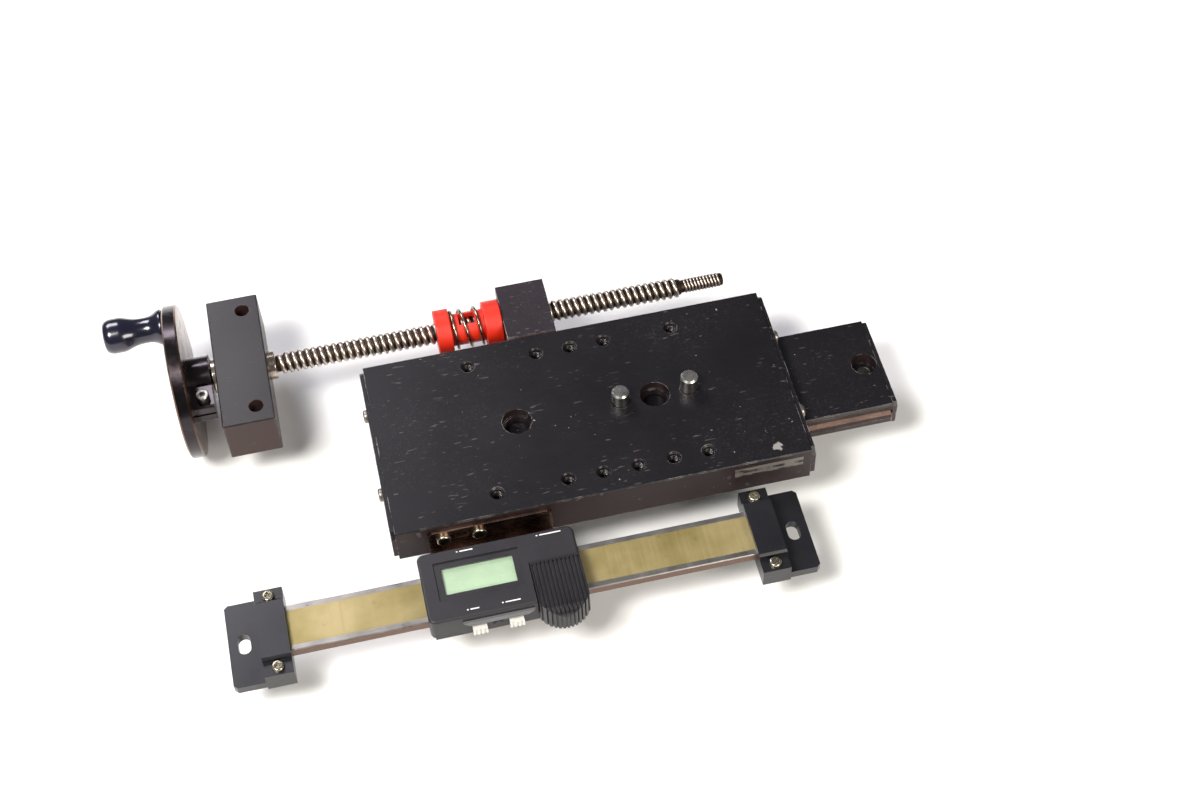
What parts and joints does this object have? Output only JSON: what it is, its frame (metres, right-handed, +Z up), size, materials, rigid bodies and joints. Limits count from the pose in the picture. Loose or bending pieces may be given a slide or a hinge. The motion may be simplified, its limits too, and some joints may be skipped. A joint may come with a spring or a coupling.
{
  "type": "linear slide",
  "caption": "Lead-screw slide with a handwheel, red anti-backlash nut and a battery digital scale beside its carriage.",
  "frame": {"origin": "centre of the slide base's underside", "axes": "+X along travel away from the handwheel, +Y towards the lead screw, +Z up"},
  "size_m": [0.2783, 0.161, 0.0572],
  "materials": {
    "black_anodised": "satin black anodised, worn",
    "black_block": "matt black anodised",
    "plate_black": "black",
    "rail_steel": "ground",
    "screw_steel": "bright zinc",
    "pin_steel": "polished",
    "thread_steel": "rolled thread",
    "bearing_steel": "bright",
    "wheel_steel": "dark polished",
    "knob_gloss": "glossy",
    "red_plastic": "moulded red",
    "block_grey": "mottled dark grey",
    "spring_wire": "bright wire",
    "beam_steel": "ground",
    "scale_gold": "gold coloured strip",
    "bracket_black": "black enamel",
    "bracket_steel": "brownish bare steel",
    "head_plastic": "fine texture",
    "window_clear": "clear",
    "display_green": "pale green",
    "board_green": "board",
    "rubber_black": "conductive strip",
    "contact_brass": "plated",
    "cell_steel": "bright",
    "button_white": "white",
    "ledge_grey": "grey",
    "cage_brass": "stamped"
  },
  "bodies": {
    "base": {"slide_base": "black_anodised", "base_end_plate_left": "plate_black", "base_end_plate_right": "plate_black", "base_end_plate_screws": "screw_steel", "base_rail_front": "rail_steel", "base_rail_back": "rail_steel", "base_rail_screws": "screw_steel", "bearing_block": "black_block", "bearing_wheel_side": "bearing_steel", "bearing_nut_side": "bearing_steel", "scale_beam": "beam_steel", "scale_strip": "scale_gold", "scale_bracket_left": "bracket_black", "scale_bracket_right": "bracket_black", "scale_clamp_left": "bracket_black", "scale_clamp_right": "bracket_black", "scale_clamp_screws": "screw_steel"},
    "carriage": {"carriage_block": "black_anodised", "carriage_end_plate_left": "plate_black", "carriage_end_plate_right": "plate_black", "carriage_end_plate_screws": "screw_steel", "carriage_rail_front": "rail_steel", "carriage_rail_back": "rail_steel", "carriage_rail_screws": "screw_steel", "dowel_pins": "pin_steel", "nut_block": "block_grey", "nut_block_screws": "screw_steel", "nut_body": "red_plastic", "nut_takeup": "red_plastic", "nut_spring": "spring_wire", "head_base": "head_plastic", "head_case": "head_plastic", "display_window": "window_clear", "display_panel": "display_green", "display_connectors": "rubber_black", "circuit_board": "board_green", "cell_contacts": "contact_brass", "button_cell": "cell_steel", "data_port_cap": "rubber_black", "button_ledge": "ledge_grey", "head_bracket": "bracket_steel", "bracket_screws": "screw_steel"},
    "lead_screw": {"lead_screw": "thread_steel", "handwheel": "wheel_steel", "wheel_hub": "wheel_steel", "hub_clamp_screw": "screw_steel", "knob_axle": "screw_steel"},
    "knob": {"crank_knob": "knob_gloss"},
    "cage_front": {"roller_cage_front": "cage_brass", "rollers_front": "rail_steel"},
    "cage_back": {"roller_cage_back": "cage_brass", "rollers_back": "rail_steel"},
    "battery_cover": {"battery_cover": "head_plastic"},
    "button_off": {"button_off": "button_white"},
    "button_on_zero": {"button_on_zero": "button_white"},
    "button_in_mm": {"button_in_mm": "button_white"},
    "button_hold": {"button_hold": "button_white"}
  },
  "joints": [
    {"name": "wheel_turn", "type": "hinge", "parent": "base", "child": "lead_screw", "pos_m": [-0.15, 0.0515, 0.012], "axis": [1, 0, 0], "range_deg": [-7200, 1440]},
    {"name": "carriage_slide", "type": "slide", "parent": "base", "child": "carriage", "axis": [1, 0, 0], "range_m": [-0.0102, 0.0509]},
    {"name": "cage_front_slide", "type": "slide", "parent": "base", "child": "cage_front", "axis": [1, 0, 0], "range_m": [-0.0051, 0.0255]},
    {"name": "cage_back_slide", "type": "slide", "parent": "base", "child": "cage_back", "axis": [1, 0, 0], "range_m": [-0.0051, 0.0255]},
    {"name": "knob_spin", "type": "hinge", "parent": "lead_screw", "child": "knob", "pos_m": [-0.19, 0.0666, 0.0271], "axis": [1, 0, 0], "continuous": true},
    {"name": "battery_cover_slide", "type": "slide", "parent": "carriage", "child": "battery_cover", "axis": [0, -1, 0], "range_m": [0, 0.022]},
    {"name": "button_off_press", "type": "slide", "parent": "carriage", "child": "button_off", "axis": [0, 1, 0], "range_m": [0, 0.0005], "stiffness_N_per_m": 300, "springref_m": -0.0004},
    {"name": "button_on_zero_press", "type": "slide", "parent": "carriage", "child": "button_on_zero", "axis": [0, 1, 0], "range_m": [0, 0.0005], "stiffness_N_per_m": 300, "springref_m": -0.0004},
    {"name": "button_in_mm_press", "type": "slide", "parent": "carriage", "child": "button_in_mm", "axis": [0, -1, 0], "range_m": [0, 0.0005], "stiffness_N_per_m": 300, "springref_m": -0.0004},
    {"name": "button_hold_press", "type": "slide", "parent": "carriage", "child": "button_hold", "axis": [0, -1, 0], "range_m": [0, 0.0005], "stiffness_N_per_m": 300, "springref_m": -0.0004}
  ],
  "couplings": [
    {"joint": "carriage_slide", "follows": "wheel_turn", "m_per_rad": -0.00040425},
    {"joint": "cage_front_slide", "follows": "wheel_turn", "m_per_rad": -0.00020213},
    {"joint": "cage_back_slide", "follows": "wheel_turn", "m_per_rad": -0.00020213}
  ]
}
